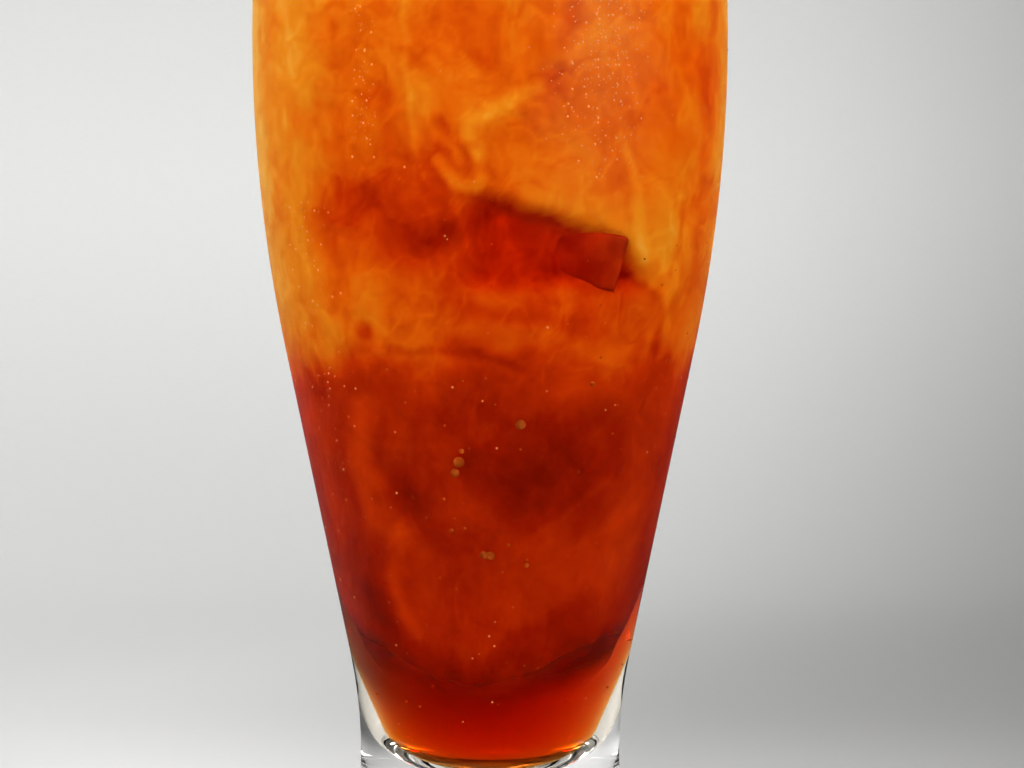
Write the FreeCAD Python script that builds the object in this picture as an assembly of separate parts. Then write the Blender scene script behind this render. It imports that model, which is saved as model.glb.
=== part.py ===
"""A glass of Thai iced tea: a tall heavy glass, red tea, tea clouded with milk above it, and ice on top.

Millimetres, +Z up. The origin is the centre of the foot, on the surface that the glass stands on.
Every round form is one profile of tangent lines and arcs, drawn in the XZ plane and turned about Z.
The tea fills the glass's own cavity profile, so the liquid and the wall meet face to face.
"""
import FreeCAD
import Part
import math
import os

# Outside of the glass
GLASS_HEIGHT = 192.0
BULGE_DIAMETER = 78.0
BULGE_HEIGHT = 145.0
SHOULDER_HEIGHT = 93.6  # the long side curve turns into the straight taper here
THROAT_HEIGHT = 43.3  # the straight taper turns into the waist curve here
WAIST_DIAMETER = 42.4
WAIST_HEIGHT = 27.0
FOOT_DIAMETER = 62.0
FOOT_EDGE_RADIUS = 3.0
PUNT_DIAMETER = 48.0  # the shallow hollow under the foot
PUNT_DEPTH = 1.5

# Inside of the glass
WALL = 2.3  # from the bulge up to the lip, and the width of the rounded lip
BASE_THICKNESS = 24.0  # solid glass from the table to the cavity's floor
CAVITY_SHOULDER_HEIGHT = 75.7
FLOOR_FLAT_RADIUS = 3.2
FLOOR_CORNER_RADIUS = 10.5

# Liquid
HEADROOM = 15.0  # from the surface of the drink up to the rim
MILK_FRONT_HEIGHT = 92.0  # mean height of the uneven border between milky and red tea
FRONT_GRID = 13  # heights across the border surface, each way

# Ice, moulded with a draft so that each cube leaves its tray
ICE_EDGE = 19.5
ICE_DRAFT = 1.0  # how much narrower each side of the cube is at its foot
ICE_ROUNDING = 2.6
ICE_CLEARANCE = 0.8  # melted away between a cube and the wall or its neighbour
ICE_STEP = 0.5  # a cube that finds no room is tried this much lower

# Milk sinking into the tea: direction in degrees, distance from the axis, width and depth of each lobe
MILK_LOBES = [
    (205.0, 21.0, 8.0, 15.0),
    (262.0, 13.0, 9.0, -7.0),
    (318.0, 20.0, 8.0, 9.0),
    (20.0, 17.0, 9.0, -6.0),
    (85.0, 19.0, 8.0, 12.0),
    (145.0, 15.0, 8.0, -8.0),
]

# Cubes that float: direction, depth of the centre under the surface, lean, direction of the lean,
# turn on its own axis, and size beside ICE_EDGE
ICE_CUBES = [
    (238.0, 4.4, 14.0, 40.0, 28.0, 1.00),
    (326.0, 6.0, 17.0, 150.0, 6.0, 0.94),
    (52.0, 3.9, 11.0, 250.0, 34.0, 0.98),
    (144.0, 5.8, 20.0, 330.0, 52.0, 0.92),
]

Z_AXIS = FreeCAD.Vector(0, 0, 1)


def at(radius, height):
    """A point of a turned profile."""
    return FreeCAD.Vector(radius, 0, height)


def on_circle(centre, radius, degrees):
    """The point of a profile circle in a direction, counted from +X towards +Z."""
    angle = math.radians(degrees)
    return centre + at(radius * math.cos(angle), radius * math.sin(angle))


def arc(centre, radius, start, end):
    """A profile arc between two directions in degrees."""
    middle = on_circle(centre, radius, (start + end) / 2)
    return Part.Arc(on_circle(centre, radius, start), middle, on_circle(centre, radius, end)).toShape()


def line(start, end):
    """A straight profile edge."""
    return Part.LineSegment(start, end).toShape()


def turned(edges):
    """The solid that a closed profile sweeps about Z."""
    face = Part.Face(Part.Wire(edges))
    solid = face.revolve(FreeCAD.Vector(0, 0, 0), Z_AXIS, 360)
    return Part.Solid(solid.Shells[0]) if solid.ShapeType != "Solid" else solid


def steepness(gap):
    """The taper in degrees at which gap, a growing function of the taper, is zero."""
    low, high = 0.05, 60.0
    for _ in range(60):
        middle = (low + high) / 2
        if gap(math.radians(middle)) < 0:
            low = middle
        else:
            high = middle
    return (low + high) / 2


def outer_taper():
    """Taper of the body that joins the bulge to the waist with a curve at each end."""
    curved = (BULGE_HEIGHT - SHOULDER_HEIGHT) + (THROAT_HEIGHT - WAIST_HEIGHT)
    straight = SHOULDER_HEIGHT - THROAT_HEIGHT
    narrowing = (BULGE_DIAMETER - WAIST_DIAMETER) / 2
    return steepness(lambda a: curved * math.tan(a / 2) + straight * math.tan(a) - narrowing)


def cavity_taper():
    """Taper of the cavity that joins the bulge to the rounded floor."""
    curved = BULGE_HEIGHT - CAVITY_SHOULDER_HEIGHT
    reach = BULGE_DIAMETER / 2 - WALL - FLOOR_FLAT_RADIUS

    def gap(a):
        corner_top = BASE_THICKNESS + FLOOR_CORNER_RADIUS * (1 - math.sin(a))
        straight = CAVITY_SHOULDER_HEIGHT - corner_top
        narrowed = curved * math.tan(a / 2) + straight * math.tan(a)
        return narrowed + FLOOR_CORNER_RADIUS * math.cos(a) - reach

    return steepness(gap)


def side_arc():
    """Radius and centre of the long outer curve through the shoulder, the bulge and the rim."""
    radius = (BULGE_HEIGHT - SHOULDER_HEIGHT) / math.sin(math.radians(outer_taper()))
    return radius, at(BULGE_DIAMETER / 2 - radius, BULGE_HEIGHT)


def cavity_arc():
    """Radius and centre of the cavity's curve from its shoulder up to the bulge."""
    radius = (BULGE_HEIGHT - CAVITY_SHOULDER_HEIGHT) / math.sin(math.radians(cavity_taper()))
    return radius, at(BULGE_DIAMETER / 2 - WALL - radius, BULGE_HEIGHT)


def cavity_radius(height):
    """How far the cavity's wall is from the axis, at a height above the rounded floor."""
    if height >= BULGE_HEIGHT:
        radius, centre = side_arc()[0] - WALL, side_arc()[1]
    else:
        radius, centre = cavity_arc()
    curve_height = max(height, CAVITY_SHOULDER_HEIGHT) - BULGE_HEIGHT
    below = max(0.0, CAVITY_SHOULDER_HEIGHT - height)
    on_curve = centre.x + math.sqrt(radius**2 - curve_height**2)
    return on_curve - below * math.tan(math.radians(cavity_taper()))


def height_angle(radius, height):
    """Direction in degrees of the point at a height on a curve whose centre is at the bulge."""
    return math.degrees(math.asin((height - BULGE_HEIGHT) / radius))


def foot_edges():
    """Underside, rounded edge and flare of the foot, from the axis out and up to the waist."""
    foot_radius = FOOT_DIAMETER / 2
    waist_radius = WAIST_DIAMETER / 2
    edge = FOOT_EDGE_RADIUS
    rise = WAIST_HEIGHT - edge
    spread = foot_radius - waist_radius
    # The flare touches the rounded edge from outside, which gives its radius.
    flare = ((edge - spread) ** 2 - edge**2 + rise**2) / (2 * spread)
    flare_centre = at(waist_radius + flare, WAIST_HEIGHT)
    edge_centre = at(foot_radius - edge, edge)
    towards_flare = math.degrees(math.atan2(rise, flare_centre.x - edge_centre.x))
    rim = PUNT_DIAMETER / 2
    punt = (rim**2 + PUNT_DEPTH**2) / (2 * PUNT_DEPTH)
    punt_centre = at(0, PUNT_DEPTH - punt)
    towards_rim = math.degrees(math.atan2(punt - PUNT_DEPTH, rim))
    return [
        arc(punt_centre, punt, 90, towards_rim),
        line(at(rim, 0), at(foot_radius - edge, 0)),
        arc(edge_centre, edge, -90, towards_flare),
        arc(flare_centre, flare, 180 + towards_flare, 180),
    ]


def body_edges():
    """Outside of the glass from the waist up to the lip's outer end."""
    taper = outer_taper()
    waist_arc = (THROAT_HEIGHT - WAIST_HEIGHT) / math.sin(math.radians(taper))
    waist_centre = at(WAIST_DIAMETER / 2 + waist_arc, WAIST_HEIGHT)
    radius, centre = side_arc()
    return [
        arc(waist_centre, waist_arc, 180, 180 - taper),
        line(on_circle(waist_centre, waist_arc, 180 - taper), on_circle(centre, radius, -taper)),
        arc(centre, radius, -taper, 0),
        arc(centre, radius, 0, lip_angle()),
    ]


def lip_angle():
    """Direction, from the side curve's centre, of the rounded lip, whose top is at the glass's height."""
    radius = side_arc()[0]
    return height_angle(radius - WALL / 2, GLASS_HEIGHT - WALL / 2)


def lip_edge():
    """The rounded lip, a half circle across the wall."""
    radius, centre = side_arc()
    angle = lip_angle()
    middle = on_circle(centre, radius - WALL / 2, angle)
    return arc(middle, WALL / 2, angle, angle + 180)


def cavity_edges(top_angle):
    """The cavity's wall from the axis, over the floor and up to a direction of the side curve."""
    taper = cavity_taper()
    corner = at(FLOOR_FLAT_RADIUS, BASE_THICKNESS + FLOOR_CORNER_RADIUS)
    lower, lower_centre = cavity_arc()
    radius, centre = side_arc()
    return [
        line(at(0, BASE_THICKNESS), at(FLOOR_FLAT_RADIUS, BASE_THICKNESS)),
        arc(corner, FLOOR_CORNER_RADIUS, -90, -taper),
        line(on_circle(corner, FLOOR_CORNER_RADIUS, -taper), on_circle(lower_centre, lower, -taper)),
        arc(lower_centre, lower, -taper, 0),
        arc(centre, radius - WALL, 0, top_angle),
    ]


def glass():
    """The glass, turned in one piece."""
    inside = cavity_edges(lip_angle())
    axis = line(at(0, PUNT_DEPTH), at(0, BASE_THICKNESS))
    return turned(foot_edges() + body_edges() + [lip_edge()] + inside[::-1] + [axis])


def liquid():
    """Everything in the glass up to the surface of the drink."""
    level = GLASS_HEIGHT - HEADROOM
    radius, centre = side_arc()
    angle = height_angle(radius - WALL, level)
    surface = line(on_circle(centre, radius - WALL, angle), at(0, level))
    axis = line(at(0, level), at(0, BASE_THICKNESS))
    return turned(cavity_edges(angle) + [surface, axis])


def front_height(x, y):
    """Height of the border between milky and red tea, with milk sinking and tea rising in lobes."""
    height = MILK_FRONT_HEIGHT
    for direction, distance, width, depth in MILK_LOBES:
        angle = math.radians(direction)
        away = math.hypot(x - distance * math.cos(angle), y - distance * math.sin(angle))
        height -= depth * math.exp(-((away / width) ** 2))
    return height


def above_front():
    """The space above the milk border, as wide as the glass and higher than the liquid."""
    half = BULGE_DIAMETER / 2
    steps = [half * (2 * i / (FRONT_GRID - 1) - 1) for i in range(FRONT_GRID)]
    heights = [[FreeCAD.Vector(x, y, front_height(x, y)) for y in steps] for x in steps]
    border = Part.BSplineSurface()
    border.interpolate(heights)
    return border.toShape().extrude(FreeCAD.Vector(0, 0, GLASS_HEIGHT))


def ice_cube(lean, lean_direction, turn, size):
    """One moulded ice cube with drafted sides and melted edges, leaning about its own centre."""
    top = ICE_EDGE * size / 2
    foot = top - ICE_DRAFT
    wedge = Part.makeWedge(-top, -top, -top, -foot, -foot, top, top, top, foot, foot)
    wedge.rotate(FreeCAD.Vector(0, 0, 0), FreeCAD.Vector(1, 0, 0), -90)
    cube = wedge.makeFillet(ICE_ROUNDING * size, wedge.Edges)
    cube.rotate(FreeCAD.Vector(0, 0, 0), Z_AXIS, turn)
    hinge = math.radians(lean_direction)
    cube.rotate(FreeCAD.Vector(0, 0, 0), FreeCAD.Vector(math.cos(hinge), math.sin(hinge), 0), lean)
    return cube


def float_beside_wall(cube, direction, depth, size, placed):
    """Moves a cube to the wall, as high as the cubes placed before it leave room."""
    corner = math.sqrt(3)
    reach = (corner * ICE_EDGE / 2 - (corner - 1) * ICE_ROUNDING) * size
    angle = math.radians(direction)
    height = GLASS_HEIGHT - HEADROOM - depth
    while True:
        distance = cavity_radius(height) - ICE_CLEARANCE - reach
        centre = FreeCAD.Vector(distance * math.cos(angle), distance * math.sin(angle), height)
        moved = cube.translated(centre)
        if all(moved.distToShape(other)[0] >= ICE_CLEARANCE for other in placed):
            return moved
        height -= ICE_STEP


def ice():
    """The floating cubes, each cleared of those before it."""
    placed = []
    for direction, depth, lean, lean_direction, turn, size in ICE_CUBES:
        cube = ice_cube(lean, lean_direction, turn, size)
        placed.append(float_beside_wall(cube, direction, depth, size, placed))
    return placed


def parts():
    """Every piece by name, the drink cut round the ice and parted at the milk border."""
    cubes = {f"ice_cube_{i + 1}": cube for i, cube in enumerate(ice())}
    drink = liquid()
    for cube in cubes.values():
        drink = drink.cut(cube)
    milky_side = above_front()
    return {
        "glass": glass(),
        "red_tea": drink.cut(milky_side),
        "milky_tea": drink.common(milky_side),
        **cubes,
    }


os.makedirs("parts", exist_ok=True)
for name, shape in parts().items():
    solid = shape.Solids[0]
    solid.exportStep(f"parts/{name}.step")
    print(f"{name}: {len(shape.Solids)} solid, {solid.Volume / 1000:.1f} ml, valid {solid.isValid()}")
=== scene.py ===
# %% [markdown]
# # A tall glass of Thai iced tea
# The drink is three things at once: a thick clear glass, strong red tea, and milk that is still sinking
# through it. Nearly all of its colour comes from how deep one looks into the red tea before milk stops the
# eye. So the lesson builds it the same way: a glass, a body of clear red liquid inside, and a lumpy cloud
# of milk inside that. Ice, bubbles and dew come after.

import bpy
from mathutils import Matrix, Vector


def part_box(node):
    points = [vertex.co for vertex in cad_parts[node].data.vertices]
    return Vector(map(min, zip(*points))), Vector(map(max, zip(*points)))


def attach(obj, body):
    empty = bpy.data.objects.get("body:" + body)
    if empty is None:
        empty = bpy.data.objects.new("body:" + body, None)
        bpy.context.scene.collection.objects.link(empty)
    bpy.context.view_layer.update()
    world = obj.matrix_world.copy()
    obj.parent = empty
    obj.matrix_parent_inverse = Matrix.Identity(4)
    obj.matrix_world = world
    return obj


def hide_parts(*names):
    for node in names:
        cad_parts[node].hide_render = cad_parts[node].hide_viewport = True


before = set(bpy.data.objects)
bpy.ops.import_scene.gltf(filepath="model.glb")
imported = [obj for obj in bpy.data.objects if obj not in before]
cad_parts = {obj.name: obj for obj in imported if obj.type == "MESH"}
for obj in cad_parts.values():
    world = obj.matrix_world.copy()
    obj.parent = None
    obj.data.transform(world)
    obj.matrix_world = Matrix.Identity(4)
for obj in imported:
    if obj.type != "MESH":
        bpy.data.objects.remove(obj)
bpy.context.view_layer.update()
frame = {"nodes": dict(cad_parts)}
print("frame loaded:", ", ".join(frame["nodes"]))

# %% [markdown]
# Blender works in metres. Names such as `MM` keep the numbers readable, because a glass is thought of in
# millimetres. The heights that matter are read from the frame: the floor of the cavity and the surface of
# the drink. Everything inside the drink is then placed by its share of the way from one to the other.

# %% Units and heights
import math
import bpy
import numpy as np
from mathutils import Matrix, Vector, noise

MM = 0.001
ROOT = "root"
scene = bpy.context.scene
scene.view_settings.view_transform = "Standard"
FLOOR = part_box("red_tea")[0].z
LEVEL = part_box("milky_tea")[1].z
GLASS_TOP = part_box("glass")[1].z


def height(share):
    """Height of a place in the drink, from 0 at the cavity's floor to 1 at the surface."""
    return FLOOR + share * (LEVEL - FLOOR)


print(f"drink from {FLOOR / MM:.1f} to {LEVEL / MM:.1f} mm, glass to {GLASS_TOP / MM:.1f} mm")

# %% [markdown]
# The glass was turned from one profile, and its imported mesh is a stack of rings. Reading the radius of each
# ring gives both curves of the wall, outside and inside, exactly where the CAD model has them. A vertex
# belongs to the outside if its normal points away from the axis. `np.interp` fills in between the rings.

# %% Reading the wall's two curves


def wall_rings(outward):
    """Heights and radii of the rings whose normals point away from the axis, or towards it."""
    mesh = frame["nodes"]["glass"].data
    places = np.array([vertex.co for vertex in mesh.vertices])
    normals = np.array([vertex.normal for vertex in mesh.vertices])
    radii = np.hypot(places[:, 0], places[:, 1])
    away = (places[:, 0] * normals[:, 0] + places[:, 1] * normals[:, 1]) / np.maximum(radii, 1e-6)
    steep = 0.02
    if outward:
        chosen = (away > steep) & (places[:, 2] > 0.001 * MM)
    else:
        chosen = (away < -steep) & (places[:, 2] > FLOOR - 0.5 * MM)
    rings = np.stack([places[chosen, 2], radii[chosen]], axis=1)
    rings = rings[np.argsort(rings[:, 0])]
    apart = np.diff(rings[:, 0], prepend=-1) > 0.02 * MM
    return rings[apart]


outside_rings = wall_rings(True)
inside_rings = wall_rings(False)


def outside(z):
    """Radius of the outer wall at a height."""
    return np.interp(z, outside_rings[:, 0], outside_rings[:, 1])


def inside(z):
    """Radius of the cavity at a height."""
    return np.interp(z, inside_rings[:, 0], inside_rings[:, 1])


print(len(outside_rings), "outer rings,", len(inside_rings), "inner rings")

# %% [markdown]
# Glass and liquid are both turned forms, so one helper makes them. It takes a profile as radius and height
# pairs and sweeps it round Z. A radius of zero closes the form with a single pole, which keeps the mesh
# watertight: refraction goes wrong in a mesh that has a hole.

# %% A helper for turned forms


def link_mesh(name, vertices, faces):
    """A smooth-shaded object in the scene from plain lists."""
    mesh = bpy.data.meshes.new(name)
    mesh.from_pydata(vertices, [], faces)
    mesh.polygons.foreach_set("use_smooth", [True] * len(mesh.polygons))
    mesh.update()
    made = bpy.data.objects.new(name, mesh)
    scene.collection.objects.link(made)
    return made


def turned(name, profile, segments=256):
    """The closed form that a profile of (radius, height) sweeps round Z."""
    vertices, rings, faces = [], [], []
    for radius, z in profile:
        first = len(vertices)
        if radius < 1e-7:
            vertices.append((0, 0, z))
            rings.append([first] * segments)
            continue
        for step in range(segments):
            angle = 2 * math.pi * step / segments
            vertices.append((radius * math.cos(angle), radius * math.sin(angle), z))
        rings.append(list(range(first, first + segments)))
    for low, high in zip(rings, rings[1:]):
        for step in range(segments):
            corners = (low[step], low[step - 1], high[step - 1], high[step])
            faces.append(tuple(dict.fromkeys(corners))[::-1])
    return link_mesh(name, vertices, faces)


# %% [markdown]
# Finishes are node trees, and node trees are easier to read as sums. `Value` wraps one output socket, so
# `1 - mask * 0.5` writes its own Math nodes. Everything that isn't plain arithmetic comes from one method,
# `Finish.node`, which sets a node's options first and then feeds its sockets.

# %% Shader sums


class Value:
    """An output socket that can be added, subtracted, multiplied and limited."""

    def __init__(self, finish, socket):
        self.finish = finish
        self.socket = socket

    def math(self, operation, first, second):
        """A Math node on two values or numbers."""
        return self.finish.node("Math", {"operation": operation}, {0: first, 1: second})

    def __add__(self, other):
        return self.math("ADD", self, other)

    __radd__ = __add__

    def __sub__(self, other):
        return self.math("SUBTRACT", self, other)

    def __rsub__(self, other):
        return self.math("SUBTRACT", other, self)

    def __mul__(self, other):
        return self.math("MULTIPLY", self, other)

    __rmul__ = __mul__

    def between(self, low, high):
        """0 below low, 1 above high, and a smooth rise between them."""
        sockets = {0: self, 1: low, 2: high, 3: 0.0, 4: 1.0}
        return self.finish.node("MapRange", {"interpolation_type": "SMOOTHSTEP"}, sockets)


class Finish:
    """A material with its Principled shader, and short ways to build its nodes."""

    def __init__(self, name, **sockets):
        self.material = bpy.data.materials.new(name)
        self.material.use_nodes = True
        self.tree = self.material.node_tree
        self.shader = self.tree.nodes["Principled BSDF"]
        self.output = self.tree.nodes["Material Output"]
        self.paint(**sockets)

    def feed(self, socket, value):
        """Links a value to a socket, or sets the socket to a plain number or colour."""
        if isinstance(value, Value):
            self.tree.links.new(value.socket, socket)
        else:
            socket.default_value = value

    def node(self, kind, settings, sockets, output=0):
        """A shader node: its options, then its sockets, and one of its outputs as a value."""
        made = self.tree.nodes.new("ShaderNode" + kind)
        for name, setting in settings.items():
            if name == "stops":
                self.set_stops(made.color_ramp, setting)
            else:
                setattr(made, name, setting)
        for socket, value in sockets.items():
            self.feed(made.inputs[socket], value)
        return Value(self, made.outputs[output])

    def set_stops(self, ramp, stops):
        """Gives a colour ramp its (place, colour) stops."""
        while len(ramp.elements) < len(stops):
            ramp.elements.new(1.0)
        for element, (place, colour) in zip(ramp.elements, stops):
            element.position = place
            element.color = (*colour, 1.0)

    def place(self):
        """The object's own coordinates, in metres."""
        return self.node("TexCoord", {}, {}, output=3)

    def speckle(self, where, size, detail=2.0, output=0):
        """Soft noise from 0 to 1 with spots of about a size in metres."""
        return self.node("TexNoise", {}, {"Vector": where, "Scale": 1 / size, "Detail": detail}, output)

    def mix_colour(self, factor, first, second):
        """One colour turning into another."""
        return self.node("Mix", {"data_type": "RGBA"}, {0: factor, 6: first, 7: second}, output=2)

    def without_sheen(self, share, ior):
        """The finish with a share of its sheen taken off, save where all light is turned back inside."""
        own = Value(self, self.shader.outputs[0])
        full_mirror = self.node("Fresnel", {}, {"IOR": ior}).between(0.90, 0.99)
        sockets = {"Color": (1, 1, 1, 1), "IOR": ior, "Roughness": 0.0}
        bent_only = self.node("BsdfRefraction", {}, sockets)
        return self.node("MixShader", {}, {0: share * (1 - full_mirror), 1: own, 2: bent_only})

    def paint(self, **sockets):
        """Feeds the Principled shader's sockets, as Base_Color=value."""
        for socket, value in sockets.items():
            self.feed(self.shader.inputs[socket.replace("_", " ")], value)


print("sums and products of shader values are ready")

# %% [markdown]
# ## The glass
# The real glass is pressed in one piece: a solid foot, a narrow waist and a wall that thins towards the
# rim. It is rebuilt from the frame's rings with more segments round, because a lens-like form shows every
# flat. Its underside has the shallow hollow that keeps such a glass from rocking.

# %% Turning the glass
PUNT_RADIUS = 24 * MM
PUNT_DEPTH = 1.5 * MM
FOOT_FLAT = 28 * MM
FLOOR_FLAT = 3.2 * MM

punt = [(PUNT_RADIUS * share, PUNT_DEPTH * (1 - share**2)) for share in (0.0, 0.25, 0.5, 0.75, 1.0)]
outer = [(radius, z) for z, radius in outside_rings if z > 0.1 * MM]
inner = [(radius, z) for z, radius in inside_rings[::-1] if z > FLOOR + 0.01 * MM]
glass = turned("glass_body", punt + [(FOOT_FLAT, 0.0)] + outer + inner + [(FLOOR_FLAT, FLOOR), (0.0, FLOOR)])
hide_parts("glass")
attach(glass, ROOT)
print("glass:", len(glass.data.polygons), "faces")

# %% [markdown]
# One glass needs three finishes. Foot and lip are clean and polished. Where the drink wets the inside, glass
# against tea hardly mirrors at all, because both bend light by nearly the same amount, so its mirror tint is
# black. The outside of the cold part would mirror the whole room and grey the red. In a studio that sheen is
# taken off with a polarising filter. Here a Mix Shader does it, with a Refraction shader as the larger part.
# A Fresnel node brings the mirror back where light meets the wall from inside at too flat an angle to leave:
# that is what makes the thick foot of a glass sparkle.

# %% Glass finishes
SHEEN_OFF = 0.9
GLASS_IOR = 1.5
COLD_ABOVE_LEVEL = 4 * MM

polished = Finish("polished_glass", Transmission_Weight=1.0, Roughness=0.0, IOR=GLASS_IOR)
polished.paint(Base_Color=(1, 1, 1, 1), Specular_Tint=(0.8, 0.8, 0.8, 1))

wetted = Finish("wetted_inner_wall", Transmission_Weight=1.0, Roughness=0.0, IOR=GLASS_IOR)
wetted.paint(Base_Color=(1, 1, 1, 1), Specular_Tint=(0, 0, 0, 1))
wetted.feed(wetted.output.inputs["Surface"], wetted.without_sheen(SHEEN_OFF, GLASS_IOR))

misted = Finish("misted_outer_wall", Transmission_Weight=1.0, Roughness=0.0, IOR=GLASS_IOR)
misted.paint(Base_Color=(1, 1, 1, 1), Specular_Tint=(0.15, 0.15, 0.15, 1))
print("sheen taken off the cold wall:", SHEEN_OFF)

# %% [markdown]
# Damp air leaves a film on the cold wall: a thin haze, thickest high up and a little right of the front,
# patchy because drops have run through it. It could be painted as a roughness, but that would blur the whole
# drink. Fog is really a veil of tiny drops that scatter light, so it is mixed in last, as a small share of a
# Diffuse shader. The direction round the glass comes from an arc tangent, as a compass gives it.

# %% Haze on the cold wall
MIST_TURN = 27.0  # direction of the thickest haze, in degrees round from the front
HAZE_SHARE = 0.035

spot_x = misted.node("SeparateXYZ", {}, {0: misted.place()}, output=0)
spot_y = misted.node("SeparateXYZ", {}, {0: misted.place()}, output=1)
spot_z = misted.node("SeparateXYZ", {}, {0: misted.place()}, output=2)
turn = spot_x.math("ARCTAN2", spot_x, 0.0 - spot_y)
off_centre = misted.node("Math", {"operation": "ABSOLUTE"}, {0: turn - math.radians(MIST_TURN)})
streaks = misted.speckle(misted.place(), 6 * MM, 4.0)
dots = misted.speckle(misted.place(), 0.7 * MM, 2.0)
band = 1 - (off_centre + (streaks - 0.5) * 0.7).between(0.0, 0.40)
risen = (spot_z + (streaks - 0.5) * 0.03).between(height(0.52), height(0.84))
haze = band * risen * (0.45 + 0.55 * dots.between(0.35, 0.65)) * HAZE_SHARE
# The film's warm yellow is painted: fog is colourless, and the colour stands in for the drink's light that it
# scatters.
film = misted.node("BsdfDiffuse", {}, {"Color": (0.95, 0.85, 0.30, 1)})
dimmed = misted.without_sheen(SHEEN_OFF, GLASS_IOR)
misted.feed(misted.output.inputs["Surface"], misted.node("MixShader", {}, {0: haze, 1: dimmed, 2: film}))
print("haze at its thickest:", HAZE_SHARE)

# %% [markdown]
# Each face of the glass now gets its finish by where it is. A face looks outwards if its normal and its
# place point the same way from the axis.

# %% Which face has which finish
for finish in (polished, wetted, misted):
    glass.data.materials.append(finish.material)
for face in glass.data.polygons:
    x, y, z = face.center
    outward = face.normal.x * x + face.normal.y * y > 0
    if not outward and FLOOR - 0.1 * MM < z < LEVEL:
        face.material_index = 1
    elif outward and FLOOR < z < LEVEL + COLD_ABOVE_LEVEL:
        face.material_index = 2
print("finishes on the glass:", [m.name for m in glass.data.materials])

# %% [markdown]
# ## The tea
# The liquid is a second turned form that reaches a hair's breadth into the wall. If it stopped at the wall,
# a film of nothing would lie between them and mirror like a bubble. The surface climbs the glass in a small
# meniscus.

# %% Turning the tea
INTO_WALL = 0.15 * MM
MENISCUS = 1.3 * MM
MENISCUS_WIDTH = 3.2 * MM

steps_up = (0.0, 0.3, 0.6, 0.8)
climb = [(inside(LEVEL) - MENISCUS_WIDTH * (1 - t), LEVEL + MENISCUS * t**3) for t in steps_up]
wet_rings = [(radius + INTO_WALL, z) for z, radius in inside_rings if FLOOR < z < LEVEL]
bottom = [(0.0, FLOOR - INTO_WALL), (FLOOR_FLAT, FLOOR - INTO_WALL)]
top = [(inside(LEVEL + MENISCUS) + INTO_WALL, LEVEL + MENISCUS)] + climb[::-1]
surface_rings = [((inside(LEVEL) - MENISCUS_WIDTH) * share, LEVEL) for share in (0.8, 0.6, 0.4, 0.2, 0.0)]
tea = turned("red_tea_body", bottom + wet_rings + top + surface_rings)
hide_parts("red_tea", "milky_tea")
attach(tea, ROOT)
print("tea:", len(tea.data.polygons), "faces")

# %% [markdown]
# The colour isn't on the tea's surface at all: Volume Absorption swallows blue within a millimetre or two,
# green within a centimetre, and red hardly at all. The side that touches the glass loses its sheen like the
# wall does. The open surface keeps its own, because it is what tells the eye that the drink is wet.

# %% Finish of the tea
TEA_IOR = 1.34
TEA_DENSITY = 500.0
TEA_COLOUR = (0.955, 0.61, 0.0, 1)

brewed = Finish("brewed_tea", Transmission_Weight=1.0, Roughness=0.0, IOR=TEA_IOR)
brewed.paint(Base_Color=(1, 1, 1, 1), Specular_Tint=(0, 0, 0, 1))
brewed.feed(brewed.output.inputs["Surface"], brewed.without_sheen(SHEEN_OFF, TEA_IOR))
open_surface = Finish("open_surface", Transmission_Weight=1.0, Roughness=0.0, IOR=TEA_IOR)
open_surface.paint(Base_Color=(1, 1, 1, 1))
for finish in (brewed, open_surface):
    absorption = finish.node("VolumeAbsorption", {}, {"Density": TEA_DENSITY, "Color": TEA_COLOUR})
    finish.feed(finish.output.inputs["Volume"], absorption)
    tea.data.materials.append(finish.material)
for face in tea.data.polygons:
    if face.center.z > LEVEL - 0.01 * MM and face.normal.z > 0.3:
        face.material_index = 1
print("faces on the open surface:", sum(face.material_index for face in tea.data.polygons))

# %% [markdown]
# ## The cloud of milk
# Milk in cold tea sinks in lobes, curls back on itself and leaves clear tea between. It could be a volume,
# but a volume renders slowly and can't leave Blender as a mesh. Here it is a solid form whose side is a grid
# round the cavity: each point stands back from the wall by a depth, and red tea fills that depth. `TURN`
# is the direction of a grid point, 0 towards the front and growing to the right, `RISE` its height. The
# milk has sunk deepest a little left of the front and behind, and hangs higher at the two sides.

# %% The grid under the cloud
ROUND = 440
UP = 300
LOWEST_MILK = height(0.03)
HIGHER_AT_SIDES = 8 * MM
DEEPEST_TURN = math.radians(9)  # how far left of the front the milk hangs lowest
CLOUD_TOP = LEVEL - 0.7 * MM


def smooth_step(low, high, values):
    """0 below low, 1 above high, smooth between; low may be the larger."""
    share = np.clip((values - low) / (high - low), 0, 1)
    return share * share * (3 - 2 * share)


angles = np.linspace(-math.pi, math.pi, ROUND, endpoint=False)
shares_up = np.linspace(0, 1, UP)
TURN, share_up = np.meshgrid(angles, shares_up)
milk_foot = LOWEST_MILK + HIGHER_AT_SIDES * np.sin(TURN + DEEPEST_TURN) ** 2
RISE = milk_foot + share_up * (CLOUD_TOP - milk_foot)
WALL = inside(RISE)
X, Y = WALL * np.sin(TURN), -WALL * np.cos(TURN)
print("cloud grid:", X.size, "points")

# %% [markdown]
# All unevenness in the milk comes from one noise that is read on the grid at different sizes. Reading it at
# places that are themselves pushed about by noise, which is called warping, turns round blobs into curls
# and threads like those of a real liquid.

# %% Noise on the grid


def wander(size, seed, octaves=3, stretch=1.0, offset=(0, 0, 0)):
    """Fractal noise of about -1 to 1 over the grid, its lumps a size in metres."""
    shift = Vector((seed * 11.3, seed * 5.7, seed * 8.9))
    places = zip((X + offset[0]).ravel(), (Y + offset[1]).ravel(), (RISE + offset[2]).ravel())
    found = [
        noise.fractal(Vector((x / size, y / size, z / (size * stretch))) + shift, 0.9, 2.1, octaves)
        for x, y, z in places
    ]
    return np.array(found).reshape(X.shape)


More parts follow.
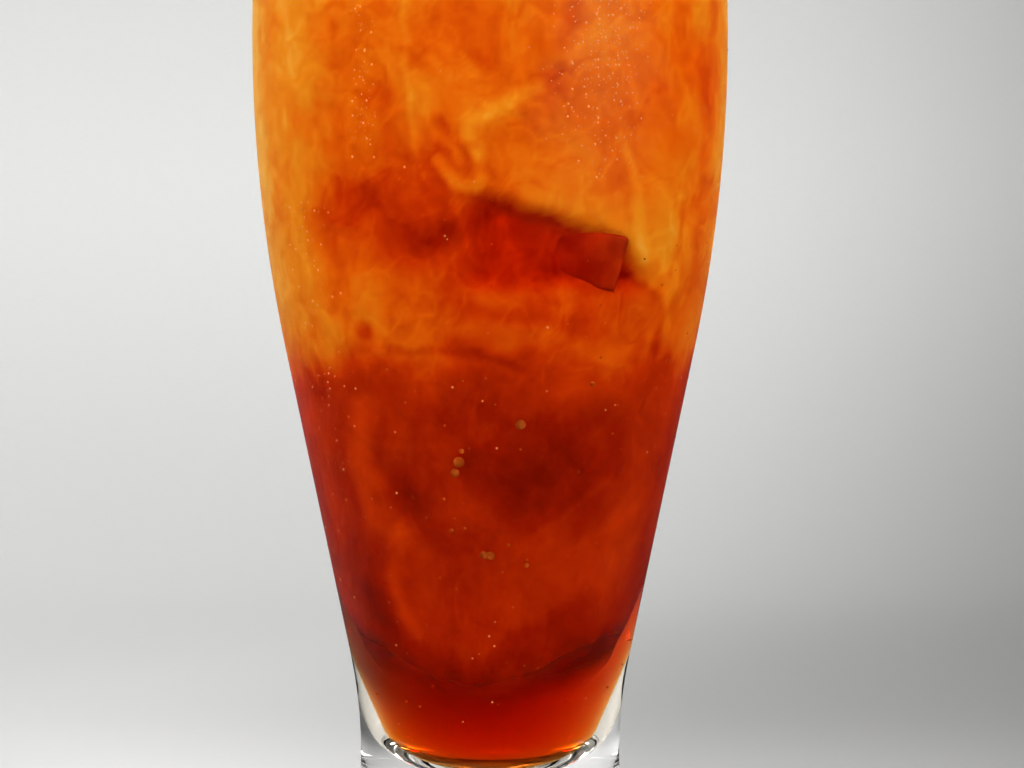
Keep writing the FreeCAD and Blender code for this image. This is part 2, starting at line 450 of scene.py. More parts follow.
drift_side = 5 * MM * wander(16 * MM, 1)
drift_up = 6 * MM * wander(14 * MM, 2)
warp = (drift_side, drift_side, drift_up)
lumps = wander(17 * MM, 3, 4, offset=warp)
curds = wander(6 * MM, 4, 4, stretch=1.3, offset=warp)
threads = wander(2.2 * MM, 5, 3, stretch=2.2, offset=warp)
print("lumps from", round(lumps.min(), 2), "to", round(lumps.max(), 2))

# %% [markdown]
# Noise alone gives clouds, but no drink looks like even clouds. The main forms are given one by one as soft
# spots, strokes and patches. Each is a mask over the grid, 1 inside and 0 outside, measured in millimetres
# along the wall. Noise pushes the outlines about so that none looks drawn.

# %% Spots, strokes and patches
ripple_side = 1.6 * MM * wander(9 * MM, 6) + 0.5 * MM * curds
ripple_up = 1.6 * MM * wander(9 * MM, 7) + 0.5 * MM * threads


def along_wall(direction, share, ripple=1.0):
    """How far each grid point is from a place, sideways and upwards, in metres along the wall."""
    turn = (TURN - math.radians(direction) + math.pi) % (2 * math.pi) - math.pi
    return turn * WALL + ripple * ripple_side, RISE - height(share) + ripple * ripple_up


def spot(direction, share, half_width, half_height, lean=0.0, soft=0.5):
    """A soft oval, leaning over to the right by some degrees; soft is the share that fades."""
    sideways, upwards = along_wall(direction, share)
    slope = math.radians(lean)
    across = (sideways * math.cos(slope) - upwards * math.sin(slope)) / (half_width * MM)
    along = (sideways * math.sin(slope) + upwards * math.cos(slope)) / (half_height * MM)
    return smooth_step(1 + soft / 2, 1 - soft, np.hypot(across, along))


def stroke(places, half_width, soft=0.6):
    """A soft line of even width through (direction, share) places."""
    nearest = np.full(X.shape, 1.0)
    for (direction, share), (next_direction, next_share) in zip(places, places[1:]):
        sideways, upwards = along_wall(direction, share)
        run_side = math.radians(next_direction - direction) * inside(height(share))
        run_up = height(next_share) - height(share)
        part = np.clip((sideways * run_side + upwards * run_up) / (run_side**2 + run_up**2), 0, 1)
        nearest = np.minimum(nearest, np.hypot(sideways - part * run_side, upwards - part * run_up))
    return smooth_step(half_width * MM * (1 + soft), half_width * MM * (1 - soft), nearest)


def patch(corners, softness):
    """A straight-sided area between corners given clockwise, each side with its own softness."""
    within = np.ones(X.shape)
    for (direction, share), (next_direction, next_share), soft in zip(
        corners, corners[1:] + corners[:1], softness
    ):
        sideways, upwards = along_wall(direction, share, 0.45)
        run_side = math.radians(next_direction - direction) * inside(height(share))
        run_up = height(next_share) - height(share)
        beyond = (upwards * run_side - sideways * run_up) / math.hypot(run_side, run_up)
        within = within * smooth_step(soft * MM, -soft * MM, beyond)
    return within


print("outlines wander by up to", round(float(np.abs(ripple_side).max()) / MM, 1), "mm")

# %% [markdown]
# `MILK` is how milky each point is: 0 is nearly plain tea and 1 is nearly cream. Above the border the drink
# is milky all over, below it the milk thins out. Veins are the thin lines where a noise passes through zero,
# and folds are wider ones that let the tea show.

# %% How milky it is
border = height(0.43) + 5 * MM * lumps + 3 * MM * wander(11 * MM, 8)
ABOVE = smooth_step(-5 * MM, 6 * MM, RISE - border)
veins = smooth_step(0.16, 0.0, np.abs(wander(8 * MM, 9, 3, offset=warp)))
folds = smooth_step(0.20, 0.0, np.abs(wander(13 * MM, 10, 4, stretch=0.7, offset=warp)))
MILK = (0.63 + 0.11 * lumps + 0.07 * curds + 0.035 * threads + 0.055 * veins - 0.05 * folds) * ABOVE
MILK += (0.25 + 0.07 * lumps + 0.04 * curds + 0.02 * threads + 0.02 * veins) * (1 - ABOVE)
print("milkiness: mean", round(float(MILK.mean()), 2))

# %% [markdown]
# Where more milk lies against the glass the drink is pale: broad bands at both sides, curls and a hook high
# up, and a hooked tongue that sinks on the left. Each form is a strength and a mask.

# %% Pale forms
pale_forms = [
    (0.12, spot(-61, 0.52, 11, 15, soft=0.8)),
    (0.34, spot(-86, 0.74, 10, 50, soft=0.8)),
    (0.17, spot(-58, 0.73, 9, 28, soft=0.9)),
    (0.22, stroke([(-13, 0.635), (-8, 0.612), (-2, 0.615), (-3, 0.64)], 0.9, soft=0.8)),
    (0.15, stroke([(-2, 0.645), (-3, 0.675), (4, 0.695), (13, 0.712)], 1.2, soft=0.9)),
    (0.09, stroke([(-17, 0.62), (-19, 0.70), (-20, 0.80)], 0.7, soft=0.9)),
    (0.14, stroke([(-14, 0.69), (-10, 0.655), (-6, 0.63)], 0.8, soft=0.9)),
    (0.10, stroke([(-24, 0.80), (-8, 0.83), (6, 0.79), (12, 0.84)], 0.9, soft=0.9)),
    (0.12, spot(52, 0.56, 8, 11, soft=0.8)),
    (0.08, stroke([(8, 0.607), (24, 0.592), (40, 0.567)], 1.4, soft=0.9)),
    (0.12, stroke([(36, 0.66), (41, 0.60), (44, 0.55)], 1.0, soft=0.9)),
    (0.16, spot(63, 0.81, 4, 5)),
    (0.20, spot(84, 0.76, 8, 46, soft=0.8)),
    (0.13, stroke([(-44, 0.39), (-51, 0.33), (-48, 0.29), (-36, 0.265)], 2.2, soft=0.9)),
    (0.12, stroke([(-34, 0.262), (-43, 0.235), (-46, 0.20), (-40, 0.16)], 1.6, soft=0.9)),
    (0.09, stroke([(60, 0.24), (64, 0.32), (70, 0.40)], 4.5, soft=0.9)),
    (0.08, spot(-70, 0.34, 5, 14, soft=0.8)),
    (0.06, spot(38, 0.40, 9, 4, soft=0.9)),
]
for strength, mask in pale_forms:
    MILK = MILK + strength * mask
print(len(pale_forms), "pale forms")

# %% [markdown]
# Where clear tea stands in front of the milk the drink is dark: hollows, the long folds under them, a
# straight-sided patch low down, and around the sunken block of ice, where the milk hasn't closed yet. The low
# arc along the foot and the darkening of the whole foot are painted shade of the cloud's underside.

# %% Dark forms
red_corners = [(-30, 0.57), (4, 0.60), (44, 0.53), (54, 0.49), (50, 0.445), (-14, 0.45)]
red_zone = patch(red_corners, [5, 2, 1, 1, 3, 6])
low_block = patch([(18, 0.375), (41, 0.367), (39, 0.305), (17, 0.258), (0, 0.30)], [3, 1.4, 0.8, 1.2, 4])
dark_forms = [
    (0.11, spot(-27, 0.70, 2.6, 5.4, lean=-8, soft=0.9)),
    (0.18, spot(-12, 0.678, 1.3, 3.0, lean=-35, soft=0.9)),
    (0.14, spot(-2, 0.628, 2.6, 1.6, lean=30, soft=0.9)),
    (0.15, spot(-11, 0.648, 4.5, 5.0, lean=-20, soft=0.9)),
    (0.12, spot(-33, 0.61, 2.4, 2.6, soft=0.9)),
    (0.19, spot(-22, 0.60, 15, 9.5, soft=0.9)),
    (0.07, spot(13, 0.70, 9, 12, lean=15, soft=0.9)),
    (0.08, spot(-26, 0.57, 13, 7, soft=0.9)),
    (0.11, stroke([(-19, 0.555), (-7, 0.575), (2, 0.60)], 2.0, soft=0.9)),
    (0.12, stroke([(18, 0.76), (22, 0.82), (21, 0.9)], 1.8, soft=0.9)),
    (0.10, stroke([(56, 0.53), (60, 0.56), (58, 0.60)], 0.8, soft=0.9)),
    (0.16, stroke([(30, 0.535), (44, 0.525), (53, 0.495), (57, 0.46)], 0.9, soft=0.9)),
    (0.12, red_zone),
    (0.22, spot(-37, 0.472, 1.9, 1.6, soft=0.7)),
    (0.10, stroke([(-30, 0.455), (-6, 0.445), (10, 0.43)], 0.7, soft=0.9)),
    (0.08, stroke([(-10, 0.49), (14, 0.48), (34, 0.47)], 1.1, soft=0.9)),
    (0.16, spot(-62, 0.425, 4, 2.6, soft=0.7)),
    (0.09, low_block),
    (0.06, spot(8, 0.33, 15, 12, soft=0.9)),
    (0.10, spot(-36, 0.305, 4.5, 6, soft=0.8)),
    (0.12, spot(-66, 0.22, 5, 9, soft=0.9)),
    # The low arc along the cloud's foot: painted shade of its underside.
    (0.08, stroke([(-61, 0.185), (-33, 0.125), (-11, 0.115), (21, 0.15), (49, 0.18)], 2.6, soft=0.9)),
]
for strength, mask in dark_forms:
    MILK = MILK - strength * mask

PAINTED_FOOT_SHADE = 0.16
DARKER_AT_BLOCK = 0.22
BLOCK = patch([(-2, 0.602), (37, 0.558), (45, 0.517), (-7, 0.515)], [0.4, 0.5, 2.5, 4.0])
# Darker towards the foot of the cloud: painted shade of its underside.
MILK -= PAINTED_FOOT_SHADE * smooth_step(18 * MM, 7 * MM, RISE - milk_foot)
MILK = np.clip(MILK - DARKER_AT_BLOCK * BLOCK, 0.0, 1.0)
print(len(dark_forms), "dark forms, milkiness now", round(float(MILK.mean()), 2))

# %% [markdown]
# The cloud is closed like a bag. Its side is the grid, its bottom draws in to a point below the rounded
# shoulder, and a slightly domed lid of rings lies just under the surface of the drink. Two numbers are
# stored on its points for the finish: how milky the place is, and how much it covers. Milk ends in clear
# tea without an edge, so the cover fades out towards the foot.

# %% A closed form for the cloud
SHOULDER = 9 * MM
FADE_FROM, FADE_TO = 2 * MM, 18 * MM


def cloud_form(name, stand_back, rings_on_top=26):
    """A closed form standing back from the wall by a grid of depths, with its milkiness stored."""
    below_shoulder = 1 - np.clip((RISE - milk_foot) / SHOULDER, 0.01, 1)
    foot = np.sqrt(1 - below_shoulder**2)
    radius = np.maximum(WALL - stand_back, 0.3 * MM) * foot
    hanging = RISE - (milk_foot - LOWEST_MILK) * (1 - foot)
    cover = smooth_step(FADE_FROM, FADE_TO, RISE - milk_foot)
    radii, rises, milk, covers = [radius], [hanging], [MILK], [cover]
    for ring in range(1, rings_on_top):
        narrower = math.cos(math.pi / 2 * ring / rings_on_top) ** 0.8
        dome = 0.25 * MM * (1 - narrower) + 0 * radius[-1]
        radii.append((radius[-1] * narrower)[None])
        rises.append((RISE[-1] + dome)[None])
        fade = ring / rings_on_top
        milk.append((MILK[-1] * (1 - fade) + 0.7 * fade)[None])
        covers.append(cover[-1][None])
    radius, rise, milk = np.concatenate(radii), np.concatenate(rises), np.concatenate(milk)
    turn = np.broadcast_to(TURN[0], radius.shape)
    points = np.stack([radius * np.sin(turn), -radius * np.cos(turn), rise], axis=-1).reshape(-1, 3)
    count = radius.shape[0]
    low_pole, high_pole = len(points), len(points) + 1
    ends = [(0, 0, float(milk_foot.min()) - 0.2 * MM), (0, 0, float(rise[-1].mean()))]
    faces = []
    for ring in range(count - 1):
        first = ring * ROUND
        for step in range(ROUND):
            after = (step + 1) % ROUND
            low, high = first, first + ROUND
            faces.append((low + step, low + after, high + after, high + step))
    last = (count - 1) * ROUND
    for step in range(ROUND):
        after = (step + 1) % ROUND
        faces.append((low_pole, after, step))
        faces.append((last + step, last + after, high_pole))
    made = link_mesh(name, [tuple(point) for point in points] + ends, faces)
    stored = made.data.attributes.new("milkiness", "FLOAT", "POINT")
    stored.data.foreach_set("value", np.append(milk.ravel(), [0.3, 0.7]).astype(np.float32))
    stored = made.data.attributes.new("cover", "FLOAT", "POINT")
    stored.data.foreach_set("value", np.append(np.concatenate(covers).ravel(), [0, 1]).astype(np.float32))
    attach(made, ROOT)
    return made


print("the cover fades over", round((FADE_TO - FADE_FROM) / MM), "mm")

# %% [markdown]
# The depth follows the milkiness. Cream lies against the glass, thin milk lets one look further in, and the
# hollow around the block is deepest. It is blurred first, because the eye takes a sharp step in depth for a
# crack.

# %% Building the cloud
NEAREST = 0.35
DEEPEST = 14


def softened(values, times):
    """A grid blurred by averaging each point with its neighbours, round the wall and up it."""
    for _ in range(times):
        values = (np.roll(values, 1, axis=1) + 2 * values + np.roll(values, -1, axis=1)) / 4
        padded = np.pad(values, ((1, 1), (0, 0)), mode="edge")
        values = (padded[:-2] + 2 * values + padded[2:]) / 4
    return values


thin = softened(np.clip(0.80 - MILK, 0, 1), 10)
fading = smooth_step(0.26, 0.10, (RISE - FLOOR) / (LEVEL - FLOOR))
depth = NEAREST + thin * (1.6 + 1.6 * ABOVE) + 0.4 * (1 - ABOVE) + 0.5 * fading + 1.7 * softened(BLOCK, 4)
depth += 0.25 * np.clip(curds, -1, 1)
milk_cloud = cloud_form("milk_cloud", np.clip(depth, NEAREST, DEEPEST) * MM)
print("cloud:", len(milk_cloud.data.polygons), "faces, deepest", round(float(depth.max()), 1), "mm")

# %% [markdown]
# Milky tea scatters light under its skin and has no shine of its own, because it is seen from within the
# liquid. The ramp runs from strong tea to cream. Two sizes of noise, bent by a third, break up the stored
# milkiness so that the finest threads of milk are there too. The stored cover goes to Alpha.

# %% Finish of the cloud
BEND = 8 * MM

clouded = Finish("clouded_tea", Roughness=0.7, Specular_IOR_Level=0.0)
where = clouded.place()
bend = clouded.speckle(where, 9 * MM, 2.0, output=1)
bent = clouded.node("VectorMath", {"operation": "MULTIPLY_ADD"}, {0: bend, 1: (BEND,) * 3, 2: where})
wisp = clouded.speckle(bent, 5 * MM, 5.0) - 0.5
grain = clouded.speckle(bent, 1.2 * MM, 3.0) - 0.5
stored = clouded.node("Attribute", {"attribute_name": "milkiness"}, {}, output=2)
milky = stored + wisp * 0.20 + grain * 0.045
TEA_TO_CREAM = [
    (0.00, (0.14, 0.006, 0.001)),
    (0.20, (0.31, 0.019, 0.002)),
    (0.42, (0.53, 0.058, 0.003)),
    (0.62, (0.69, 0.165, 0.006)),
    (0.80, (0.76, 0.300, 0.016)),
    (1.00, (0.82, 0.500, 0.090)),
]
cover = clouded.node("Attribute", {"attribute_name": "cover"}, {}, output=2)
clouded.paint(Base_Color=clouded.node("ValToRGB", {"stops": TEA_TO_CREAM}, {0: milky}))
clouded.paint(Alpha=(cover * (1 + wisp * 0.3)).between(0.0, 0.9))
milk_cloud.data.materials.append(clouded.material)
print("colours from tea to cream:", len(TEA_TO_CREAM))

# %% [markdown]
# ## Ice
# Ice that has floated in tea for a while has lost its corners, and its flat faces are dished. A bevel would
# round the corners but leave the faces flat, so each CAD cube, which gives size and place, is remeshed
# finely, smoothed, and eaten away unevenly by noise.

# %% Melting the cubes


def melted(name, source, wear=1.0):
    """A melted copy of a block of ice: finely remeshed, rounded, and dished by noise."""
    made = bpy.data.objects.new(name, source.copy())
    scene.collection.objects.link(made)
    remesh = made.modifiers.new("fine", "REMESH")
    remesh.mode = "VOXEL"
    remesh.voxel_size = 0.7 * MM
    smooth = made.modifiers.new("round", "SMOOTH")
    smooth.iterations = 10
    mesh = bpy.data.meshes.new_from_object(made.evaluated_get(bpy.context.evaluated_depsgraph_get()))
    made.modifiers.clear()
    made.data = mesh
    mesh.name = name
    normals = [vertex.normal.copy() for vertex in mesh.vertices]
    for vertex, normal in zip(mesh.vertices, normals):
        eaten = wear * (0.45 + 0.9 * noise.fractal(vertex.co / (9 * MM), 0.8, 2.0, 2))
        vertex.co -= normal * max(0.0, eaten) * MM
    mesh.polygons.foreach_set("use_smooth", [True] * len(mesh.polygons))
    mesh.update()
    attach(made, ROOT)
    return made


cubes = []
for node in sorted(frame["nodes"]):
    if node.startswith("ice_cube"):
        cubes.append(melted(f"melted_{node}", frame["nodes"][node].data))
        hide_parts(node)
print("ice:", {cube.name: len(cube.data.polygons) for cube in cubes})

# %% [markdown]
# One block has been pushed under by the others. It starts as a plain box with its face a few millimetres
# behind the wall. Three small turns set it: its right end comes nearer the wall than its left, its face
# follows the wall's slope, and its top edge falls to the right. So one corner shows as a dark straight-edged
# shape, and the rest is lost in the milk.

# %% The sunken block
BLOCK_SIZE = (21.0, 14.0, 9.5)  # along the wall, into the drink, and upwards, in millimetres
BLOCK_DIRECTION = 23.5
BLOCK_SHARE = 0.562
STAND_BACK = 3.3 * MM
RIGHT_END_OUT, FACE_SLOPE, TOP_EDGE_FALLS = -17, 12, 15  # degrees about Z, X and Y

block_z = height(BLOCK_SHARE)
block_radius = float(inside(block_z)) - STAND_BACK - BLOCK_SIZE[1] / 2 * MM
facing = Matrix.Rotation(math.radians(BLOCK_DIRECTION), 4, "Z")
end_out = Matrix.Rotation(math.radians(RIGHT_END_OUT), 4, "Z")
leant = end_out @ Matrix.Rotation(math.radians(FACE_SLOPE), 4, "X")
place = Matrix.Translation(facing @ Vector((0, -block_radius, block_z))) @ facing
place = place @ leant @ Matrix.Rotation(math.radians(TOP_EDGE_FALLS), 4, "Y")
corners = [(x, y, z) for x in (-0.5, 0.5) for y in (-0.5, 0.5) for z in (-0.5, 0.5)]
box = bpy.data.meshes.new("plain_block")
box.from_pydata(
    [place @ Vector([side * size * MM for side, size in zip(corner, BLOCK_SIZE)]) for corner in corners],
    [],
    [(0, 1, 3, 2), (4, 6, 7, 5), (0, 4, 5, 1), (2, 3, 7, 6), (0, 2, 6, 4), (1, 5, 7, 3)],
)
LITTLE_WORN = 0.35
sunken = melted("sunken_ice_block", box, LITTLE_WORN)
print("sunken block at", [round(value / MM, 1) for value in place.translation])

# %% [markdown]
# Ice pushes the drink aside, so the cubes are cut out of the tea and the cloud with a Boolean modifier. The
# tea's hollows are a hair smaller than the cubes, for the same reason as at the wall: no film of nothing may
# lie between. The cloud's are larger, so that clear tea shows round each cube. A cut face takes its finish
# and its stored numbers from the tool, so the tool gets no finish of its own and is marked as milky. The
# sunken block is stained right through. Light doesn't pass it, so it needs a hollow in the cloud only.

# %% Making room for the ice
TEA_OVERLAP = -0.08 * MM
TEA_AROUND_CUBES = 0.5 * MM
BLOCK_IN_CLOUD = -0.4 * MM
MILK_AT_BLOCK = 0.42


def hollowed(target, tool, grow, milkiness=0.95):
    """Cuts a slightly larger or smaller copy of one form out of another, and marks the cut as milky."""
    cutter = bpy.data.objects.new("cutter", tool.data.copy())
    cutter.data.materials.clear()
    scene.collection.objects.link(cutter)
    for vertex, normal in zip(cutter.data.vertices, [v.normal.copy() for v in tool.data.vertices]):
        vertex.co += normal * grow
    for name, value in (("milkiness", milkiness), ("cover", 1.0)):
        given = cutter.data.attributes.new(name, "FLOAT", "POINT")
        given.data.foreach_set("value", np.full(len(cutter.data.vertices), value, dtype=np.float32))
    cut = target.modifiers.new("room", "BOOLEAN")
    cut.operation = "DIFFERENCE"
    cut.solver = "MANIFOLD"
    cut.object = cutter
    mesh = bpy.data.meshes.new_from_object(target.evaluated_get(bpy.context.evaluated_depsgraph_get()))
    target.modifiers.clear()
    target.data = mesh
    bpy.data.objects.remove(cutter)


for cube in cubes:
    hollowed(tea, cube, TEA_OVERLAP)
    hollowed(milk_cloud, cube, TEA_AROUND_CUBES)
hollowed(milk_cloud, sunken, BLOCK_IN_CLOUD, MILK_AT_BLOCK)
print("tea now", len(tea.data.polygons), "faces, cloud", len(milk_cloud.data.polygons))

# %% [markdown]
# Ice from a freezer is clear outside and white with air inside. Modelling every air bubble would be slow, and
# less than full transmission looks the same from outside. Below the surface of the drink the ice takes on
# the tea's colour and has no shine, because tea and ice bend light almost equally.

# %% Finish of the cubes
ICE_IOR = 1.31

clear_ice = Finish("clear_ice", Transmission_Weight=0.68, Roughness=0.07, IOR=ICE_IOR)
clear_ice.paint(Base_Color=(0.93, 0.95, 0.97, 1))
sunk_ice = Finish("sunk_ice", Transmission_Weight=0.80, Roughness=0.0, IOR=ICE_IOR)
sunk_ice.paint(Base_Color=(1.0, 0.80, 0.55, 1), Specular_Tint=(0, 0, 0, 1))
for cube in cubes:
    cube.data.materials.clear()
    cube.data.materials.append(clear_ice.material)
    cube.data.materials.append(sunk_ice.material)
    for face in cube.data.polygons:
        face.material_index = 1 if face.center.z < LEVEL else 0
print("faces above the drink:", sum(1 - f.material_index for cube in cubes for f in cube.data.polygons))

# %% [markdown]
# The sunken block has soaked up tea through its cracks and a skin of milky tea lies over it, so it is dull
# and deep red, a little smeared, and without any shine.

# %% Finish of the sunken block
steeped = Finish("steeped_ice", Roughness=0.6, IOR=ICE_IOR, Specular_IOR_Level=0.0)
smear = steeped.speckle(steeped.place(), 4 * MM, 5.0).between(0.3, 0.7)
steeped.paint(Base_Color=steeped.mix_colour(smear, (0.30, 0.016, 0.002, 1), (0.42, 0.030, 0.003, 1)))
steeped.paint(Specular_Tint=(0, 0, 0, 1))
sunken.data.materials.clear()
sunken.data.materials.append(steeped.material)
print("sunken block:", len(sunken.data.polygons), "faces")

# %% [markdown]
# ## Bubbles and dew
# Pouring leaves air in the tea. A few bubbles stick to the inside of the wall, each in a skin of milk, and
# more ride where the surface meets the glass. Outside, damp air has settled as drops. All are small round
# forms in great number, so one helper writes them into a single mesh: it takes a centre, the direction that
# sticks out, a radius, and how far the form reaches out of the surface and into it.

# %% A helper for many small round forms
random = np.random.default_rng(17)


def beads(name, places, segments=10, rings=3):
    """One mesh of many bead-like forms from (centre, normal, radius, reach out, reach in)."""
    vertices, faces = [], []
    for centre, normal, radius, reach_out, reach_in in places:
        normal = Vector(normal).normalized()
        side = normal.orthogonal().normalized()
        other = normal.cross(side)
        first = len(vertices)
        levels = [math.pi / 2 * ring / rings for ring in range(1 - rings, rings)]
        for lift in levels:
            reach = reach_out if lift > 0 else reach_in
            out = Vector(centre) + normal * radius * reach * math.sin(lift)
            for step in range(segments):
                turned_by = 2 * math.pi * step / segments
                spoke = side * math.cos(turned_by) + other * math.sin(turned_by)
                vertices.append(tuple(out + spoke * radius * math.cos(lift)))
        vertices.append(tuple(Vector(centre) - normal * radius * reach_in))
        vertices.append(tuple(Vector(centre) + normal * radius * reach_out))
        for step in range(segments):
            after = (step + 1) % segments
            for ring in range(len(levels) - 1):
                low, high = first + ring * segments, first + (ring + 1) * segments
                faces.append((low + step, low + after, high + after, high + step))
            last = first + (len(levels) - 1) * segments
            faces.append((len(vertices) - 2, first + after, first + step))
            faces.append((len(vertices) - 1, last + step, last + after))
    made = link_mesh(name, vertices, faces)
    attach(made, ROOT)
    return made


def at_wall(radius_at, direction, z, inset=0.0):
    """A point on one of the wall's curves, and the direction straight out from it."""
    turn = math.radians(direction)
    radius = float(radius_at(z)) - inset
    slope = float(radius_at(z + MM) - radius_at(z - MM)) / (2 * MM)
    out = (math.sin(turn), -math.cos(turn), -slope)
    return (radius * math.sin(turn), -radius * math.cos(turn), z), out


print("helpers for round forms are ready")

# %% [markdown]
# The bubbles in the tea that the eye finds first are listed one by one, as direction, share of the height,
# and radius in millimetres. Small ones are strewn at random, with a fixed seed so that every run is the same.
# A bubble's wall bends light the other way from a drop. Its low IOR and the milky colour stand for that and
# for its skin.

# %% Bubbles in the tea
BUBBLE_GAP = 0.12  # millimetres of tea between bubble and wall

large_bubbles = [
    (-11.5, 0.327, 0.70), (-10.0, 0.338, 0.85), (-8.8, 0.349, 0.40), (10, 0.376, 0.80), (-2.0, 0.243, 0.62),
    (0.4, 0.242, 0.70), (32, 0.417, 0.42), (15, 0.232, 0.38), (-14, 0.268, 0.34), (-16, 0.30, 0.28),
]
small_bubbles = [
    (random.uniform(-180, 180), random.uniform(0.08, 0.60), random.uniform(0.10, 0.22)) for _ in range(110)
]
in_tea = []
for direction, share, radius in large_bubbles + small_bubbles:
    centre, out = at_wall(inside, direction, height(share), (radius + BUBBLE_GAP) * MM)
    in_tea.append((centre, out, radius * MM, 1.0, 1.0))
bubbles = beads("bubbles_in_tea", in_tea, 12, 4)
skinned = Finish("milky_bubble", Transmission_Weight=0.55, Roughness=0.2, IOR=1.15)
skinned.paint(Base_Color=(0.72, 0.17, 0.02, 1), Specular_Tint=(0.4, 0.2, 0.1, 1))
bubbles.data.materials.append(skinned.material)
print("bubbles:", len(in_tea), "in the tea")

# %% [markdown]
# Bubbles that rise gather in a ring at the wall, where the meniscus pulls them up. They are larger than the
# sunken ones and half out of the drink, so each is a cap with a shallow underside.

# %% Foam where the surface meets the glass
FOAM_BUBBLES = 90
FOAM_LIFT = 0.25 * MM

rim_foam = []
for _ in range(FOAM_BUBBLES):
    radius = random.uniform(0.35, 1.3)
    centre, _out = at_wall(inside, random.uniform(-180, 180), LEVEL, (radius + random.uniform(0.0, 1.2)) * MM)
    rim_foam.append(((centre[0], centre[1], LEVEL + FOAM_LIFT), (0, 0, 1), radius * MM, 0.9, 0.5))
foam = beads("foam_at_wall", rim_foam, 16, 4)
foamy = Finish("foam", Transmission_Weight=0.7, Roughness=0.08, IOR=1.2)
foamy.paint(Base_Color=(0.95, 0.72, 0.45, 1))
foam.data.materials.append(foamy.material)
print("foam:", len(rim_foam), "bubbles at the wall")

# %% [markdown]
# Dew gathers where the haze is thickest, in two smaller trails on the left, and thinly everywhere the drink
# cools the wall. Drops on a wall are flat caps, and all of them are one mesh, because a thousand objects
# would slow the file. A trail is a count, a direction, a spread in degrees, and its lowest and highest share.

# %% Places of the drops
STREWN_DROPS = 450

drops = []
trails = [(950, MIST_TURN, 6.0, 0.62, 1.0), (70, -30.0, 1.8, 0.64, 0.80), (90, -52.0, 5.0, 0.30, 0.62)]
for count, direction, spread, low, high in trails:
    for _ in range(count):
        share = low + (high - low) * random.power(1.4)
        drops.append((random.normal(direction, spread), share, 0.07 + 0.12 * random.power(0.5)))
for _ in range(STREWN_DROPS):
    drops.append((random.uniform(-180, 180), random.uniform(0.06, 1.02), 0.06 + 0.14 * random.power(0.4)))
print("places for", len(drops), "drops")

# %% [markdown]
# Each drop is a tiny lens that gathers the drink's own colour from a wide angle, so dew on orange tea looks
# pale orange, not white. At this size the lens can't be seen, so that orange is painted: most of the drop is
# a warm Diffuse colour standing in for the drink's light bent through it, its sheen is tinted orange as well,
# and the share of its sheen that would flash white is taken off.

# %% Dew on the outside
WATER_IOR = 1.33
DROP_HEIGHT, DROP_SUNK = 0.55, 0.15  # shares of a drop's radius

dew_places = []
for direction, share, radius in drops:
    centre, out = at_wall(outside, direction, height(share))
    dew_places.append((centre, out, radius * MM, DROP_HEIGHT, DROP_SUNK))
dew = beads("dew_drops", dew_places, 8, 2)
dewy = Finish("dew", Transmission_Weight=0.35, Roughness=0.3, IOR=WATER_IOR, Specular_IOR_Level=0.1)
# Painted light: the orange colour and the orange sheen tint stand in for the drink's light seen through the
# drop.
dewy.paint(Base_Color=(1, 0.40, 0.10, 1), Specular_Tint=(0.4, 0.15, 0.04, 1))
dewy.feed(dewy.output.inputs["Surface"], dewy.without_sheen(0.4, WATER_IOR))
dew.data.materials.append(dewy.material)
print("dew:", len(dew_places), "drops,", len(dew.data.polygons), "faces")

# %% [markdown]
# ## Studio
# Clear drinks stand on a sweep of paper that curves up behind them, so that no edge shows through the glass.
# The sweep is round here, so the drink can be looked at from all sides. The paper's colour is painted a
# little darker to the right, in front and where it lies flat: a painted fall-off of light, as under one large
# window.

# %% Paper sweep
SWEEP_FLOOR = 0.65
SWEEP_CURVE = 0.40
SWEEP_TOP = 1.6

bend_up = [math.radians(90 * step / 16) for step in range(17)]
curve = [(SWEEP_FLOOR + SWEEP_CURVE * math.sin(a), SWEEP_CURVE * (1 - math.cos(a))) for a in bend_up]
sweep = turned("paper_sweep", [(0.0, 0.0)] + curve + [(SWEEP_FLOOR + SWEEP_CURVE, SWEEP_TOP)], 128)
paper = Finish("pale_paper", Roughness=0.9, Specular_IOR_Level=0.2)
grain = paper.speckle(paper.place(), 3 * MM, 3.0)
across = paper.node("SeparateXYZ", {}, {0: paper.place()}, output=0)
away = paper.node("SeparateXYZ", {}, {0: paper.place()}, output=1)
# The paper's colour carries painted shade: darker in front, to the right and where it lies flat.
shade = (0.52 + 0.28 * away.between(-0.5, 0.4)) * (0.985 + 0.03 * grain)
up = paper.node("SeparateXYZ", {}, {0: paper.place()}, output=2)
painted_floor_shade = 1 - up.between(0.0, 0.22)
right = (across - 0.35 * away).between(-0.25, 0.12)
shade = shade * (1 - 0.46 * right) * (1 - 0.24 * painted_floor_shade) * (1 - 0.20 * painted_floor_shade * right)
paper.paint(Base_Color=paper.node("CombineXYZ", {}, {0: shade, 1: shade, 2: shade * 0.985}))
sweep.data.materials.append(paper.material)
print("sweep: floor to", SWEEP_FLOOR, "m, wall", SWEEP_TOP, "m high")

# %% [markdown]
# The drink is lit by five softboxes from the front and the sides, because the milk must glow through the tea
# from every side. Each is held to a cone by its spread, so that it lights the drink and not the paper. Three
# washes light the paper alone. The world adds an even, weak white so that no shadow goes black.

# %% Lights
ROOM_STRENGTH = 0.20


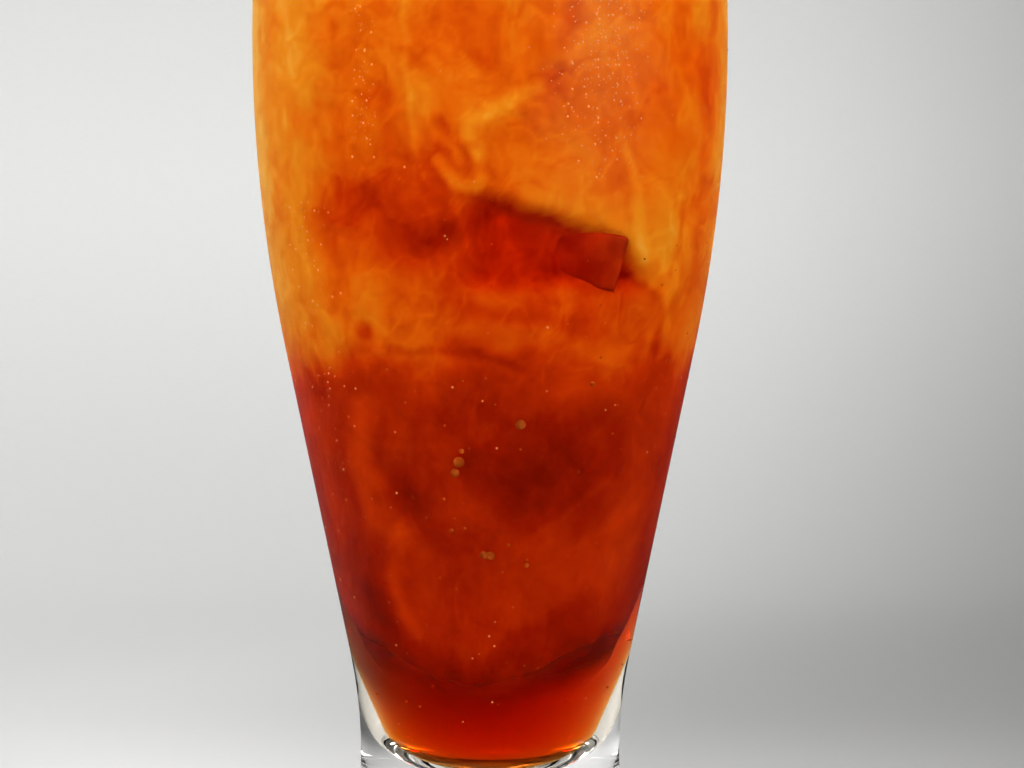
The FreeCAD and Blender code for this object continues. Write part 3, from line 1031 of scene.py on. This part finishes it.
def soft_light(name, place, target, width, depth, power, spread):
    """A rectangular softbox aimed at a point, its light held to a cone."""
    lamp = bpy.data.lights.new(name, "AREA")
    lamp.shape = "RECTANGLE"
    lamp.size, lamp.size_y = width, depth
    lamp.energy = power
    lamp.spread = math.radians(spread)
    made = bpy.data.objects.new(name, lamp)
    made.location = place
    made.rotation_euler = (Vector(target) - Vector(place)).to_track_quat("-Z", "Y").to_euler()
    scene.collection.objects.link(made)


soft_light("key", (-0.10, -0.92, 0.48), (0, 0, 0.10), 0.5, 0.3, 0.34, 34)
soft_light("left_front", (-0.70, -0.58, 0.48), (0, 0, 0.10), 0.4, 0.3, 0.50, 32)
soft_light("right_front", (0.66, -0.62, 0.48), (0, 0, 0.10), 0.4, 0.3, 0.59, 32)
soft_light("right_side", (0.68, 0.10, 0.66), (0, 0, 0.12), 0.25, 0.25, 0.34, 26)
soft_light("left_side", (-0.66, 0.10, 0.72), (0, 0, 0.12), 0.25, 0.25, 0.28, 26)
soft_light("back_wash", (-0.24, 0.22, 1.34), (-0.14, 1.05, 0.0), 0.6, 0.4, 3.6, 90)
soft_light("front_wash", (0.30, -0.25, 1.35), (0.30, -1.05, 0.25), 0.6, 0.4, 8.0, 100)
soft_light("left_wash", (-0.25, 0.0, 1.35), (-1.05, -0.05, 0.25), 0.6, 0.4, 1.7, 100)
world = bpy.data.worlds.new("room")
world.use_nodes = True
world.node_tree.nodes["Background"].inputs["Color"].default_value = (1, 1, 1, 1)
world.node_tree.nodes["Background"].inputs["Strength"].default_value = ROOM_STRENGTH
scene.world = world
print("lights:", len(bpy.data.lights))

# %% [markdown]
# The camera looks level at the glass through a long lens, which keeps its sides true, and crops it above and
# below, with the axis a little left of the middle. Its distance and height are shares of the glass's own
# width and height.

# %% Camera
GLASS_WIDTH = 2 * float(outside_rings[:, 1].max())
RIGHT_OF_AXIS, DISTANCE = 0.046, 6.0  # in widths of the glass
EYE_LEVEL = 0.456  # in heights of the glass

lens = bpy.data.cameras.new("portrait_lens")
lens.lens = 100
lens.sensor_width = 36
lens.clip_start = 0.01
camera = bpy.data.objects.new("camera", lens)
camera.location = (RIGHT_OF_AXIS * GLASS_WIDTH, -DISTANCE * GLASS_WIDTH, EYE_LEVEL * GLASS_TOP)
camera.rotation_euler = (math.radians(90), 0, 0)
scene.collection.objects.link(camera)
scene.camera = camera
print("camera at", [round(value, 3) for value in camera.location])
